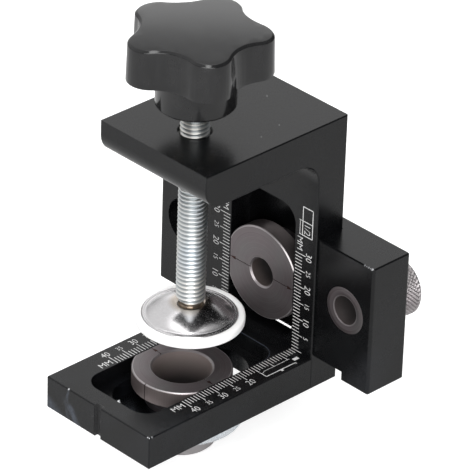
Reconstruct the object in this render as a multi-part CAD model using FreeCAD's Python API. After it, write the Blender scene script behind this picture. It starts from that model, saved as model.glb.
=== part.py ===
import FreeCAD, Part
import math
import os

# Self centering doweling jig, millimetres, +Z up, X across the width.
# The origin is the inner corner on the middle plane, where the top of the base
# plate (Z = 0) meets the inner face of the wall (Y = 0).

# frame
frame_width = 39.9
plate_thickness = 9.7
plate_front = -58.5
wall_thickness = 9.8
frame_top = 70.75
arm_thickness = 10.3
arm_front = -40.75
arm_nose_radius = 6.0
inner_corner_radius = 7.0
edge_break = 0.3

# slots for the two sliding bushes
pocket_half_width = 12.15
pocket_depth = 4.8
slot_half_width = 10.0
pocket_corner_radius = 5.4
plate_slot_corner_radius = 9.4
wall_slot_corner_radius = 3.0
plate_pocket_front = -52.8
plate_pocket_back = -4.8
plate_slot_front = -49.4
plate_slot_back = -7.8
wall_pocket_bottom = 1.6
wall_pocket_top = 43.0
wall_slot_top = 41.0
front_groove_width = 2.5
front_groove_depth = 1.3

# socket head screws between wall and base plate
joint_screw_x = 15.2
joint_screw_z = -4.6
joint_screw_radius = 2.0
joint_head_radius = 3.5
joint_head_height = 4.0
joint_seat_y = 5.15
joint_screw_tip = -9.0
joint_socket_flats = 3.0

# clamp screw, M8
screw_y = -26.0
screw_radius = 4.0
screw_start = 20.35
screw_end = 93.0
ball_radius = 3.4
ball_height = 16.7
ball_flat_height = 14.45
neck_radius = 2.5
running_gap = 0.05

# star knob
knob_lobes = 5
knob_tip_radius = 19.6
knob_hollow_radius = 15.0
lobe_arc_radius = 5.9
knob_first_lobe = 40.8
knob_bottom = 89.1
knob_edge_height = 99.8
knob_crown = 101.0
knob_draft = 0.33
knob_edge_break = 0.6
hub_radius = 10.6
hub_bottom = 78.5
insert_radius = 5.45
insert_top = 93.2

# swivel foot
cap_radius = 14.65
cap_bottom = 13.2
cap_floor = 14.4
cap_top = 15.9
cap_lip_radius = 12.9
dome_rim_radius = 12.8
dome_wall = 0.8
dome_sphere_radius = 19.2
dome_top = 19.4
dome_foot_radius = 11.2
dome_shoulder_radius = 4.2
rim_bead_top = 16.1
rim_bead_break = 0.45
rim_groove_depth = 0.3
rim_groove_width = 0.5
rim_hem_width = 0.6
dome_mouth_radius = 2.9

# guide bushes
flange_radius = 13.5
flange_flats = 23.8
flange_thickness = 4.75
barrel_radius = 9.5
barrel_length = 22.5
base_bush_y = -28.3
base_bore_radius = 8.0
wall_bush_z = 17.75
wall_bore_radius = 4.0
bore_break = 0.5
bore_end_break = 0.3
scribe_width = 0.3
scribe_depth = 0.15

# round nuts
nut_radius = 16.8
nut_thickness = 4.8

# side bar and its bush
bar_half_length = 40.3
bar_front = 0.8
bar_back = 14.4
bar_bottom = -2.1
bar_top = 36.5
bar_inner_half_width = 20.05
bar_plate_front = 9.85
bar_foot_inner = 30.5
bar_notch_height = 0.7
bar_corner_radius = 0.8
side_hole_x = 30.45
side_hole_z = 19.6
side_hole_radius = 6.8
sleeve_radius = 6.75
sleeve_front = 1.05
side_head_radius = 8.4
side_head_end = 21.7
side_bore_radius = 4.0

half_width = frame_width / 2


def box(x_low, x_high, y_low, y_high, z_low, z_high):
    corner = FreeCAD.Vector(x_low, y_low, z_low)
    return Part.makeBox(x_high - x_low, y_high - y_low, z_high - z_low, corner)


def rod(radius, start, direction, length):
    return Part.makeCylinder(radius, length, FreeCAD.Vector(*start), FreeCAD.Vector(*direction))


def cone(radius_start, radius_end, start, direction, length):
    point = FreeCAD.Vector(*start)
    return Part.makeCone(radius_start, radius_end, length, point, FreeCAD.Vector(*direction))


def edges_along(shape, axis_name):
    """Straight edges of a shape that run along one axis."""
    found = []
    for edge in shape.Edges:
        if len(edge.Vertexes) != 2:
            continue
        span = edge.Vertexes[1].Point.sub(edge.Vertexes[0].Point)
        size = {"x": abs(span.x), "y": abs(span.y), "z": abs(span.z)}
        if abs(size[axis_name] - edge.Length) < 1e-6:
            found.append(edge)
    return found


def rounded_block(limits, axis_name, radius):
    """Box whose four edges along one axis are rounded."""
    body = box(*limits)
    return body.makeFillet(radius, edges_along(body, axis_name))


def turned(points):
    """Solid turned about Z from a closed outline of (radius, height) points."""
    outline = Part.makePolygon([FreeCAD.Vector(r, 0, z) for r, z in points + points[:1]])
    face = Part.Face(outline)
    return face.revolve(FreeCAD.Vector(0, 0, 0), FreeCAD.Vector(0, 0, 1), 360)


def point_to_positive_y(shape):
    """Turns a part made along +Z so that it points along +Y."""
    result = shape.copy()
    result.rotate(FreeCAD.Vector(0, 0, 0), FreeCAD.Vector(1, 0, 0), -90)
    return result


def point_to_negative_z(shape):
    """Turns a part made along +Z so that it points along -Z."""
    result = shape.copy()
    result.rotate(FreeCAD.Vector(0, 0, 0), FreeCAD.Vector(1, 0, 0), 180)
    return result


def moved(shape, x, y, z):
    result = shape.copy()
    result.translate(FreeCAD.Vector(x, y, z))
    return result


def side_outline_edges(body):
    """Edges that lie wholly on one of the two flat sides of the frame."""
    found = []
    for edge in body.Edges:
        limits = edge.BoundBox
        on_side = abs(abs(limits.XMin) - half_width) < 1e-6 and limits.XLength < 1e-6
        if on_side:
            found.append(edge)
    return found


def bracket_blank():
    """Wall and arm: a side outline with a round nose and a round inner corner."""
    bottom = -plate_thickness
    under = frame_top - arm_thickness
    nose_y = arm_front + arm_nose_radius
    nose_z = under + arm_nose_radius
    slant = math.sqrt(0.5)
    inner = inner_corner_radius

    def at(y, z):
        return FreeCAD.Vector(-half_width, y, z)

    nose_mid = at(nose_y - arm_nose_radius * slant, nose_z - arm_nose_radius * slant)
    inner_mid = at(-inner + inner * slant, under - inner + inner * slant)
    edges = [
        Part.makeLine(at(0, bottom), at(wall_thickness, bottom)),
        Part.makeLine(at(wall_thickness, bottom), at(wall_thickness, frame_top)),
        Part.makeLine(at(wall_thickness, frame_top), at(arm_front, frame_top)),
        Part.makeLine(at(arm_front, frame_top), at(arm_front, nose_z)),
        Part.Arc(at(arm_front, nose_z), nose_mid, at(nose_y, under)).toShape(),
        Part.makeLine(at(nose_y, under), at(-inner, under)),
        Part.Arc(at(-inner, under), inner_mid, at(0, under - inner)).toShape(),
        Part.makeLine(at(0, under - inner), at(0, bottom)),
    ]
    face = Part.Face(Part.Wire(edges))
    blank = face.extrude(FreeCAD.Vector(frame_width, 0, 0))
    return blank.makeChamfer(edge_break, side_outline_edges(blank))


def make_upright_bracket():
    body = bracket_blank()
    pocket_limits = (
        -pocket_half_width, pocket_half_width,
        -1.0, pocket_depth,
        wall_pocket_bottom, wall_pocket_top,
    )
    body = body.cut(rounded_block(pocket_limits, "y", pocket_corner_radius))
    # the narrow rear half of the slot runs out through the lower edge of the wall
    slot_limits = (
        -slot_half_width, slot_half_width,
        pocket_depth, wall_thickness + 1,
        -plate_thickness - 10, wall_slot_top,
    )
    body = body.cut(rounded_block(slot_limits, "y", wall_slot_corner_radius))
    for side in (-1, 1):
        x = side * joint_screw_x
        body = body.cut(rod(joint_screw_radius + 0.2, (x, -1, joint_screw_z), (0, 1, 0), 12))
        seat = (x, joint_seat_y, joint_screw_z)
        body = body.cut(rod(joint_head_radius + 0.25, seat, (0, 1, 0), 6))
    under = frame_top - arm_thickness
    hole_radius = screw_radius + running_gap
    body = body.cut(rod(hole_radius, (0, screw_y, under - 1), (0, 0, 1), arm_thickness + 2))
    body = body.cut(cone(hole_radius + 0.6, hole_radius, (0, screw_y, under), (0, 0, 1), 0.6))
    top = (0, screw_y, frame_top)
    return body.cut(cone(hole_radius + 0.6, hole_radius, top, (0, 0, -1), 0.6))


def make_base_plate():
    body = box(-half_width, half_width, plate_front, 0, -plate_thickness, 0)
    front_edges = [e for e in body.Edges if abs(e.BoundBox.YMax - plate_front) < 1e-6]
    long_edges = edges_along(body, "y")
    body = body.makeChamfer(edge_break, front_edges + long_edges)
    pocket_limits = (
        -pocket_half_width, pocket_half_width,
        plate_pocket_front, plate_pocket_back,
        -pocket_depth, 1.0,
    )
    body = body.cut(rounded_block(pocket_limits, "z", pocket_corner_radius))
    slot_limits = (
        -slot_half_width, slot_half_width,
        plate_slot_front, plate_slot_back,
        -plate_thickness - 1, 0,
    )
    body = body.cut(rounded_block(slot_limits, "z", plate_slot_corner_radius))
    groove = box(
        -front_groove_width / 2, front_groove_width / 2,
        plate_front - 1, plate_front + front_groove_depth,
        -plate_thickness - 1, 1,
    )
    body = body.cut(groove)
    for side in (-1, 1):
        start = (side * joint_screw_x, 1, joint_screw_z)
        body = body.cut(rod(joint_screw_radius + running_gap, start, (0, -1, 0), 11.5))
    return body


def hex_socket(flats, depth):
    """Hexagonal recess that opens towards +Z at height 0."""
    reach = flats / math.sqrt(3)
    points = []
    for step in range(7):
        angle = math.radians(60 * step)
        points.append(FreeCAD.Vector(reach * math.cos(angle), reach * math.sin(angle), -depth))
    return Part.Face(Part.makePolygon(points)).extrude(FreeCAD.Vector(0, 0, depth + 1))


def make_socket_screw():
    """Screw along +Z with its head seat at height 0 and its shank below."""
    tip = joint_screw_tip - joint_seat_y
    body = turned([
        (0, tip),
        (joint_screw_radius - 0.5, tip),
        (joint_screw_radius, tip + 0.5),
        (joint_screw_radius, 0),
        (joint_head_radius, 0),
        (joint_head_radius, joint_head_height - 0.4),
        (joint_head_radius - 0.4, joint_head_height),
        (0, joint_head_height),
    ])
    return body.cut(moved(hex_socket(joint_socket_flats, 2.2), 0, 0, joint_head_height))


def make_base_plate_screws():
    screw = point_to_positive_y(make_socket_screw())
    pair = []
    for side in (-1, 1):
        pair.append(moved(screw, side * joint_screw_x, joint_seat_y, joint_screw_z))
    return Part.makeCompound(pair)


def make_clamp_screw():
    shaft = turned([
        (0, screw_start),
        (screw_radius - 0.8, screw_start),
        (screw_radius, screw_start + 0.8),
        (screw_radius, screw_end - 0.8),
        (screw_radius - 0.8, screw_end),
        (0, screw_end),
    ])
    neck = rod(neck_radius, (0, 0, ball_height), (0, 0, 1), screw_start - ball_height + 0.5)
    ball = Part.makeSphere(ball_radius, FreeCAD.Vector(0, 0, ball_height))
    below = box(-9, 9, -9, 9, ball_flat_height - 9, ball_flat_height)
    body = shaft.fuse([neck, ball.cut(below)]).removeSplitter()
    return moved(body, 0, screw_y, 0)


def polar(radius, angle, height):
    return FreeCAD.Vector(radius * math.cos(angle), radius * math.sin(angle), height)


def knob_outline(height, growth):
    """Closed wire of tangent arcs: round lobes outside, hollows between them."""
    half_step = math.pi / knob_lobes
    lobe_centre = knob_tip_radius - lobe_arc_radius
    closeness = math.cos(half_step)
    # radius of the hollow that touches both of its lobes
    gap = lobe_centre ** 2 + knob_hollow_radius ** 2 - lobe_arc_radius ** 2
    gap -= 2 * lobe_centre * knob_hollow_radius * closeness
    room = 2 * (lobe_arc_radius + lobe_centre * closeness - knob_hollow_radius)
    hollow_arc_radius = gap / room
    hollow_centre = knob_hollow_radius + hollow_arc_radius
    share = (lobe_arc_radius + growth) / (lobe_arc_radius + hollow_arc_radius)
    first = math.radians(knob_first_lobe)
    edges = []
    for lobe in range(knob_lobes):
        angle = first + 2 * half_step * lobe
        centre = polar(lobe_centre, angle, height)
        before = polar(hollow_centre, angle - half_step, height)
        after = polar(hollow_centre, angle + half_step, height)
        start = centre.add(before.sub(centre).multiply(share))
        end = centre.add(after.sub(centre).multiply(share))
        tip = polar(knob_tip_radius + growth, angle, height)
        edges.append(Part.Arc(start, tip, end).toShape())
        bottom = polar(knob_hollow_radius + growth, angle + half_step, height)
        next_centre = polar(lobe_centre, angle + 2 * half_step, height)
        next_start = next_centre.add(after.sub(next_centre).multiply(share))
        edges.append(Part.Arc(end, bottom, next_start).toShape())
    return Part.Wire(edges)


def make_star_knob():
    """Lobed head with draft on its sides, a domed top and broken edges."""
    over = knob_crown + 1
    rise = (over - knob_bottom) / (knob_edge_height - knob_bottom)
    lower = knob_outline(knob_bottom, knob_draft)
    upper = knob_outline(over, knob_draft - knob_draft * rise)
    head = Part.makeLoft([lower, upper], True, True)
    drop = knob_crown - knob_edge_height
    dome_radius = (knob_tip_radius ** 2 + drop ** 2) / (2 * drop)
    dome = Part.makeSphere(dome_radius, FreeCAD.Vector(0, 0, knob_crown - dome_radius))
    head = head.common(dome)
    top_edges = [e for e in head.Edges if e.BoundBox.ZMin > knob_bottom + 5]
    head = head.makeChamfer(knob_edge_break, top_edges)
    hub = rod(hub_radius, (0, 0, hub_bottom), (0, 0, 1), knob_bottom - hub_bottom + 1)
    hub_edge = [e for e in hub.Edges if e.BoundBox.ZMax < hub_bottom + 0.01]
    hub = hub.makeChamfer(knob_edge_break, hub_edge)
    body = head.fuse(hub).removeSplitter()
    hole_top = insert_top + 0.3
    hole = rod(insert_radius + 0.05, (0, 0, hub_bottom - 1), (0, 0, 1), hole_top - hub_bottom + 1)
    return moved(body.cut(hole), 0, screw_y, 0)


def make_knob_insert():
    """Bushing with a shallow waist that keys it into the hub."""
    low = hub_bottom + 0.1
    waist = (low + insert_top) / 2
    inner = screw_radius + running_gap
    outer = insert_radius
    body = turned([
        (inner + 0.3, low),
        (outer, low),
        (outer, waist - 1.5),
        (outer - 0.5, waist - 1),
        (outer - 0.5, waist + 1),
        (outer, waist + 1.5),
        (outer, insert_top),
        (inner, insert_top),
        (inner, low + 0.3),
    ])
    return moved(body, 0, screw_y, 0)


def make_foot_dome():
    """Pressed shell: rim bead, ring groove, then a ball shaped rise to the screw neck."""
    sphere = dome_sphere_radius
    shoulder = dome_shoulder_radius
    foot = dome_foot_radius
    centre = dome_top - math.sqrt(sphere ** 2 - shoulder ** 2)
    low = cap_floor + 0.02
    rim = dome_rim_radius
    bead = rim_bead_break

    def at(r, z):
        return FreeCAD.Vector(r, 0, z)

    def on_sphere(r, radius):
        return at(r, centre + math.sqrt(radius ** 2 - r ** 2))

    middle = (shoulder + foot) / 2
    outer = Part.Arc(on_sphere(foot, sphere), on_sphere(middle, sphere), on_sphere(shoulder, sphere))
    inner = sphere - dome_wall
    inside = foot - rim_hem_width
    under = Part.Arc(on_sphere(shoulder, inner), on_sphere(middle, inner), on_sphere(inside, inner))
    mouth = dome_mouth_radius
    top = on_sphere(shoulder, sphere).z
    under_top = on_sphere(shoulder, inner).z
    groove = rim_bead_top - rim_groove_depth
    groove_end = foot + rim_groove_width
    edges = [
        Part.makeLine(at(rim, low), at(rim, rim_bead_top - bead)),
        Part.makeLine(at(rim, rim_bead_top - bead), at(rim - bead, rim_bead_top)),
        Part.makeLine(at(rim - bead, rim_bead_top), at(groove_end, groove)),
        Part.makeLine(at(groove_end, groove), on_sphere(foot, sphere)),
        outer.toShape(),
        Part.makeLine(at(shoulder, top), at(mouth, top)),
        Part.makeLine(at(mouth, top), at(mouth, under_top)),
        Part.makeLine(at(mouth, under_top), at(shoulder, under_top)),
        under.toShape(),
        Part.makeLine(on_sphere(inside, inner), at(inside, low)),
        Part.makeLine(at(inside, low), at(rim, low)),
    ]
    face = Part.Face(Part.Wire(edges))
    body = face.revolve(FreeCAD.Vector(0, 0, 0), FreeCAD.Vector(0, 0, 1), 360)
    return moved(body, 0, screw_y, 0)


def make_foot_cap():
    """Shallow plastic cup with broken outer edges."""
    outer_blank = rod(cap_radius, (0, 0, cap_bottom), (0, 0, 1), cap_top - cap_bottom)
    rims = [e for e in outer_blank.Edges if e.Closed and e.BoundBox.ZLength < 1e-6]
    body = outer_blank.makeChamfer(0.6, rims)
    body = body.cut(rod(cap_lip_radius, (0, 0, cap_floor), (0, 0, 1), 5))
    return moved(body, 0, screw_y, 0)


def make_guide_bush(bore_radius, rim_mark):
    """Flange face at height 0, barrel towards +Z, flats across X."""
    end = barrel_length
    body = turned([
        (bore_radius + bore_break, 0),
        (flange_radius - 0.3, 0),
        (flange_radius, 0.3),
        (flange_radius, flange_thickness),
        (barrel_radius, flange_thickness),
        (barrel_radius, end - 0.8),
        (barrel_radius - 0.8, end),
        (bore_radius + bore_end_break, end),
        (bore_radius, end - bore_end_break),
        (bore_radius, bore_break),
    ])
    flat = flange_flats / 2
    for side in (-1, 1):
        inner = side * flat
        outer = side * (flange_radius + 1)
        limits = (min(inner, outer), max(inner, outer), -20, 20, -1, flange_thickness)
        body = body.cut(box(*limits))
    # index line across the face, read against the two edge scales
    half = scribe_width / 2
    body = body.cut(box(-20, 20, -half, half, -1, scribe_depth))
    if rim_mark:
        rim = flange_radius - scribe_depth
        body = body.cut(box(-half, half, rim, flange_radius + 1, -1, flange_thickness))
    return body


def make_base_bush():
    bush = point_to_negative_z(make_guide_bush(base_bore_radius, True))
    return moved(bush, 0, base_bush_y, 0)


def make_wall_bush():
    bush = point_to_positive_y(make_guide_bush(wall_bore_radius, False))
    return moved(bush, 0, 0, wall_bush_z)


def make_round_nut():
    """Nut along +Z from height 0."""
    high = nut_thickness
    hole = barrel_radius + running_gap
    return turned([
        (hole + 0.4, 0),
        (nut_radius - 0.5, 0),
        (nut_radius, 0.5),
        (nut_radius, high - 0.5),
        (nut_radius - 0.5, high),
        (hole + 0.4, high),
        (hole, high - 0.4),
        (hole, 0.4),
    ])


def make_base_nut():
    nut = point_to_negative_z(make_round_nut())
    return moved(nut, 0, base_bush_y, -plate_thickness - running_gap)


def make_wall_nut():
    nut = point_to_positive_y(make_round_nut())
    return moved(nut, 0, bar_back + running_gap, wall_bush_z)


def make_side_bar():
    """U seen from above; two feet below, one at each end."""
    corner_limits = (-bar_half_length, bar_half_length, bar_front, bar_back, bar_bottom, bar_top)
    body = rounded_block(corner_limits, "z", bar_corner_radius)
    rim_edges = []
    for edge in body.Edges:
        flat = edge.BoundBox.ZLength < 1e-6
        if flat:
            rim_edges.append(edge)
    body = body.makeChamfer(0.35, rim_edges)
    inner = bar_inner_half_width
    body = body.cut(box(-inner, inner, bar_front - 1, bar_plate_front, bar_bottom - 1, bar_top + 1))
    # step under each block, between the wall and the foot
    for side in (-1, 1):
        ends = sorted((side * inner, side * bar_foot_inner))
        body = body.cut(box(*ends, bar_front - 1, bar_back + 1, bar_bottom - 1, bar_notch_height))
    centre_hole = rod(barrel_radius + running_gap, (0, 0, wall_bush_z), (0, 1, 0), bar_back + 1)
    body = body.cut(centre_hole)
    for side in (-1, 1):
        x = side * side_hole_x
        body = body.cut(rod(side_hole_radius, (x, 0, side_hole_z), (0, 1, 0), bar_back + 1))
    return body


def make_side_bush():
    length = side_head_end - sleeve_front
    neck = bar_back + running_gap - sleeve_front
    body = turned([
        (side_bore_radius + 0.3, 0),
        (sleeve_radius - 0.15, 0),
        (sleeve_radius, 0.15),
        (sleeve_radius, neck),
        (side_head_radius - 0.5, neck),
        (side_head_radius, neck + 0.5),
        (side_head_radius, length - 0.6),
        (side_head_radius - 0.6, length),
        (side_bore_radius + 0.5, length),
        (side_bore_radius, length - 0.5),
        (side_bore_radius, 0.3),
    ])
    return moved(point_to_positive_y(body), side_hole_x, sleeve_front, side_hole_z)


pieces = {
    "upright_bracket": make_upright_bracket,
    "base_plate": make_base_plate,
    "base_plate_screws": make_base_plate_screws,
    "clamp_screw": make_clamp_screw,
    "star_knob": make_star_knob,
    "knob_insert": make_knob_insert,
    "foot_dome": make_foot_dome,
    "foot_cap": make_foot_cap,
    "base_bush": make_base_bush,
    "base_nut": make_base_nut,
    "wall_bush": make_wall_bush,
    "wall_nut": make_wall_nut,
    "side_bar": make_side_bar,
    "side_bush": make_side_bush,
}

for name, build in pieces.items():
    shape = build()
    shape.exportStep("parts/" + name + ".step")
    print(name, len(shape.Solids), "solid", round(shape.Volume, 1), shape.isValid())
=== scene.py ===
import bpy
import math
from mathutils import Matrix, Vector


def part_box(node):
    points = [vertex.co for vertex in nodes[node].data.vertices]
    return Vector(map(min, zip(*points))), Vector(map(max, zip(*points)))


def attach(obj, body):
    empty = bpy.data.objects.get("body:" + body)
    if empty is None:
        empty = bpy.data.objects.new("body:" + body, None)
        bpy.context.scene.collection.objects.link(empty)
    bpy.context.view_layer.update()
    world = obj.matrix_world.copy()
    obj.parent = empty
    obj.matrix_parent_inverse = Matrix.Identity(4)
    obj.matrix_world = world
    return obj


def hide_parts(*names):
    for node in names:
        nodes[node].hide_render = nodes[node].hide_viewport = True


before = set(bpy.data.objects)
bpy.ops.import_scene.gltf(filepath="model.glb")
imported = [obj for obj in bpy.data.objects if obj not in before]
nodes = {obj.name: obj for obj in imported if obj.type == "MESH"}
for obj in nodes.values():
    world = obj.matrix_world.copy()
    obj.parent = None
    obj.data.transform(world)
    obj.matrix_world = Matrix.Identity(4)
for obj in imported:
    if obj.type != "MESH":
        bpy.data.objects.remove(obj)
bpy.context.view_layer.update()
mm = 0.001  # all sizes below are millimetres times this
quarter = math.radians(90)
print("frame loaded:", len(nodes), "nodes")


def middleOf(nodeName):
    low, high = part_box(nodeName)
    return [(a + b) / 2 / mm for a, b in zip(low, high)]


layout = {
    "screwY": middleOf("foot_cap")[1], "baseBushY": middleOf("base_bush")[1],
    "wallBushZ": middleOf("wall_bush")[2],
    "sideHoleX": middleOf("side_bush")[0], "sideHoleZ": middleOf("side_bush")[2],
}
print("places:", {label: round(value, 2) for label, value in layout.items()})


# node helpers for the shaders

def newGroup(name, inputs, *outputs):
    # an input without a number is a vector, every output a number
    group = bpy.data.node_groups.new(name, "ShaderNodeTree")
    for label, value in inputs.items():
        kind = "NodeSocketVector" if value is None else "NodeSocketFloat"
        socket = group.interface.new_socket(name=label, in_out="INPUT", socket_type=kind)
        if value is not None:
            socket.default_value = value
    for label in outputs:
        group.interface.new_socket(name=label, in_out="OUTPUT", socket_type="NodeSocketFloat")
    return group, group.nodes.new("NodeGroupInput"), group.nodes.new("NodeGroupOutput")


def feed(tree, value, socket):
    if isinstance(value, (int, float, tuple)):
        socket.default_value = value
    else:
        tree.links.new(value, socket)


def addMath(tree, operation, first, second=0.0, clamp=False):
    node = tree.nodes.new("ShaderNodeMath")
    node.operation = operation
    node.use_clamp = clamp
    feed(tree, first, node.inputs[0])
    feed(tree, second, node.inputs[1])
    return node.outputs[0]


def times(tree, first, second, clamp=False):
    return addMath(tree, "MULTIPLY", first, second, clamp)


def blend(tree, first, second, share):
    # first by its share plus second by what is left
    return addMath(tree, "ADD", times(tree, first, share), times(tree, second, 1 - share))


def addLength(tree, first, second):
    squares = [times(tree, side, side) for side in (first, second)]
    return addMath(tree, "SQRT", addMath(tree, "ADD", *squares))


def addNoise(tree, vector, scale, detail, roughness):
    node = tree.nodes.new("ShaderNodeTexNoise")
    feed(tree, vector, node.inputs["Vector"])
    feed(tree, scale, node.inputs["Scale"])
    feed(tree, detail, node.inputs["Detail"])
    feed(tree, roughness, node.inputs["Roughness"])
    return node.outputs["Fac"]


def addRange(tree, value, fromLow, fromHigh, toLow=0.0, toHigh=1.0, kind="LINEAR"):
    node = tree.nodes.new("ShaderNodeMapRange")
    node.interpolation_type = kind
    limits = {"From Min": fromLow, "From Max": fromHigh, "To Min": toLow, "To Max": toHigh}
    for label, number in limits.items():
        feed(tree, number, node.inputs[label])
    feed(tree, value, node.inputs["Value"])
    return node.outputs["Result"]


def addMix(tree, mask, first, second):
    node = tree.nodes.new("ShaderNodeMix")
    node.data_type = "RGBA"
    colours = [socket for socket in node.inputs if socket.type == "RGBA"]
    feed(tree, mask, node.inputs["Factor"])
    for colour, socket in zip((first, second), colours):
        feed(tree, (*colour, 1) if isinstance(colour, tuple) else colour, socket)
    return [socket for socket in node.outputs if socket.type == "RGBA"][0]


def addMapping(tree, vector, place=(0, 0, 0), turn=(0, 0, 0), scale=(1, 1, 1)):
    node = tree.nodes.new("ShaderNodeMapping")
    feed(tree, vector, node.inputs["Vector"])
    node.inputs["Location"].default_value = place
    node.inputs["Rotation"].default_value = turn
    node.inputs["Scale"].default_value = scale
    return node.outputs["Vector"]


def addVectorMath(tree, operation, first, second):
    node = tree.nodes.new("ShaderNodeVectorMath")
    node.operation = operation
    feed(tree, first, node.inputs[0])
    feed(tree, second, node.inputs[1])
    return node.outputs["Value"]


def splitXYZ(tree, vector):
    node = tree.nodes.new("ShaderNodeSeparateXYZ")
    feed(tree, vector, node.inputs["Vector"])
    return node.outputs["X"], node.outputs["Y"], node.outputs["Z"]


def joined(tree, *masks):
    total = masks[0]
    for mask in masks[1:]:
        total = addMath(tree, "MAXIMUM", total, mask)
    return total


def placeGroup(tree, group, **values):
    node = tree.nodes.new("ShaderNodeGroup")
    node.node_tree = group
    for label, value in values.items():
        feed(tree, value, node.inputs[label.replace("_", " ")])
    return node


def paint(tree, shader, colour, rough, metallic=0.0):
    for label, value in (("Base Color", colour), ("Roughness", rough), ("Metallic", metallic)):
        feed(tree, value, shader.inputs[label])


def addBump(tree, height, shader, strength, distance):
    bump = tree.nodes.new("ShaderNodeBump")
    bump.inputs["Strength"].default_value = strength
    bump.inputs["Distance"].default_value = distance
    feed(tree, height, bump.inputs["Height"])
    tree.links.new(bump.outputs["Normal"], shader.inputs["Normal"])


def newMaterial(name):
    material = bpy.data.materials.new(name)
    material.use_nodes = True
    tree = material.node_tree
    shader = tree.nodes["Principled BSDF"]
    place = tree.nodes.new("ShaderNodeTexCoord").outputs["Object"]
    return material, tree, shader, place


# effects that several materials share; a noise in the dictionaries is (scale, detail, roughness)

edgeShape = {
    "samples": 6, "turned": (0.02, 0.25), "breaks": (4.0, 0.7), "limit": (0.75, 0.3), "contrast": 9.0,
}


def buildEdgeWear():
    # worn corners: the bevelled normal leaves the true one near an edge, broken up by noise
    s = edgeShape
    group, start, end = newGroup(
        "edgeWear", {"Vector": None, "Reach": 0.0003, "Break Scale": 900.0, "Amount": 0.5}, "Mask")
    bevel = group.nodes.new("ShaderNodeBevel")
    bevel.samples = s["samples"]
    feed(group, start.outputs["Reach"], bevel.inputs["Radius"])
    surface = group.nodes.new("ShaderNodeNewGeometry")
    facing = addVectorMath(group, "DOT_PRODUCT", bevel.outputs["Normal"], surface.outputs["Normal"])
    edge = addRange(group, addMath(group, "SUBTRACT", 1.0, facing, clamp=True), *s["turned"])
    spots = addNoise(group, start.outputs["Vector"], start.outputs["Break Scale"], *s["breaks"])
    limit = addRange(group, start.outputs["Amount"], 0.0, 1.0, *s["limit"])
    kept = times(group, addMath(group, "SUBTRACT", spots, limit), s["contrast"], clamp=True)
    feed(group, times(group, edge, kept, clamp=True), end.inputs["Mask"])
    return group


def buildTurning():
    # rings about the Z axis of the given vector, as a lathe tool leaves them
    group, start, end = newGroup("turningMarks", {"Vector": None, "Ring Scale": 9000.0}, "Rings", "Radius")
    x, y, z = splitXYZ(group, start.outputs["Vector"])
    radius = addLength(group, x, y)
    along = group.nodes.new("ShaderNodeCombineXYZ")
    feed(group, radius, along.inputs["X"])
    feed(group, z, along.inputs["Y"])
    rings = addNoise(group, along.outputs["Vector"], start.outputs["Ring Scale"], 2.0, 0.6)
    feed(group, rings, end.inputs["Rings"])
    feed(group, radius, end.inputs["Radius"])
    return group


spotShape = {"ragged": (2400.0, 2.0, 0.6), "raggedRange": (0.3, 0.7, 0.4, 1.6), "contrast": 2.2}


def buildSpot():
    # soft round spot about one point, broken up by noise
    s = spotShape
    group, start, end = newGroup("spotMask", {"Vector": None, "Centre": None, "Reach": 0.0004}, "Mask")
    gap = addVectorMath(group, "DISTANCE", start.outputs["Vector"], start.outputs["Centre"])
    near = addMath(group, "SUBTRACT", 1.0, addMath(group, "DIVIDE", gap, start.outputs["Reach"]), clamp=True)
    ragged = addRange(group, addNoise(group, start.outputs["Vector"], *s["ragged"]), *s["raggedRange"])
    feed(group, times(group, times(group, near, ragged), s["contrast"], clamp=True), end.inputs["Mask"])
    return group


def buildBand():
    # soft edged band on both sides of one place along a value
    group, start, end = newGroup(
        "bandMask", {"Value": 0.0, "Centre": 0.0, "Half Width": 0.001, "Softness": 0.0002}, "Mask")
    offset = addMath(group, "SUBTRACT", start.outputs["Value"], start.outputs["Centre"])
    away = addMath(group, "ABSOLUTE", offset)
    inside = addMath(group, "SUBTRACT", start.outputs["Half Width"], away)
    steep = addMath(group, "DIVIDE", inside, start.outputs["Softness"])
    feed(group, addMath(group, "ADD", steep, 0.5, clamp=True), end.inputs["Mask"])
    return group


edgeWear = buildEdgeWear()
turningMarks = buildTurning()
spotMask = buildSpot()
bandMask = buildBand()


def addFade(tree, value, start, end, low=0.0, high=1.0):
    # from low to high between two places in millimetres
    return addRange(tree, value, start * mm, end * mm, low, high)


def addBand(tree, value, centre, half, soft):
    # all three in millimetres
    band = placeGroup(
        tree, bandMask, Value=value, Centre=centre * mm, Half_Width=half * mm, Softness=soft * mm)
    return band.outputs["Mask"]


def addSpot(tree, place, point, reach):
    centre = tuple(value * mm for value in point)
    return placeGroup(tree, spotMask, Vector=place, Centre=centre, Reach=reach * mm).outputs["Mask"]


def addWear(tree, place, reach, scale, amount):
    worn = placeGroup(tree, edgeWear, Vector=place, Reach=reach, Break_Scale=scale, Amount=amount)
    return worn.outputs["Mask"]


# anodised pieces

anodised = {
    "dye": (0.0018, 0.0019, 0.0022), "dyeWorn": (0.0040, 0.0042, 0.0048), "bloom": (0.0085, 0.0095, 0.012),
    "metal": (0.62, 0.63, 0.65), "metallic": 0.9, "rough": (0.20, 0.33), "specular": 0.272,
    "clouds": (55.0, 4.0, 0.6), "cloudShare": 0.6, "stains": (24.0, 3.0, 0.5),
    "stainPlace": (0.031, 0.012, 0.02), "grain": (5200.0, 2.0, 0.6), "bump": (0.08, 0.00002),
    "specks": (900.0, 2.0, 0.8), "dust": (0.16, 0.16, 0.165), "wear": (0.00022, 420.0, 0.22),
    "lint": (0.5, 0.5, 0.5), "lintReach": 0.22, "markAndLightShare": 0.7,
}


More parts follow.
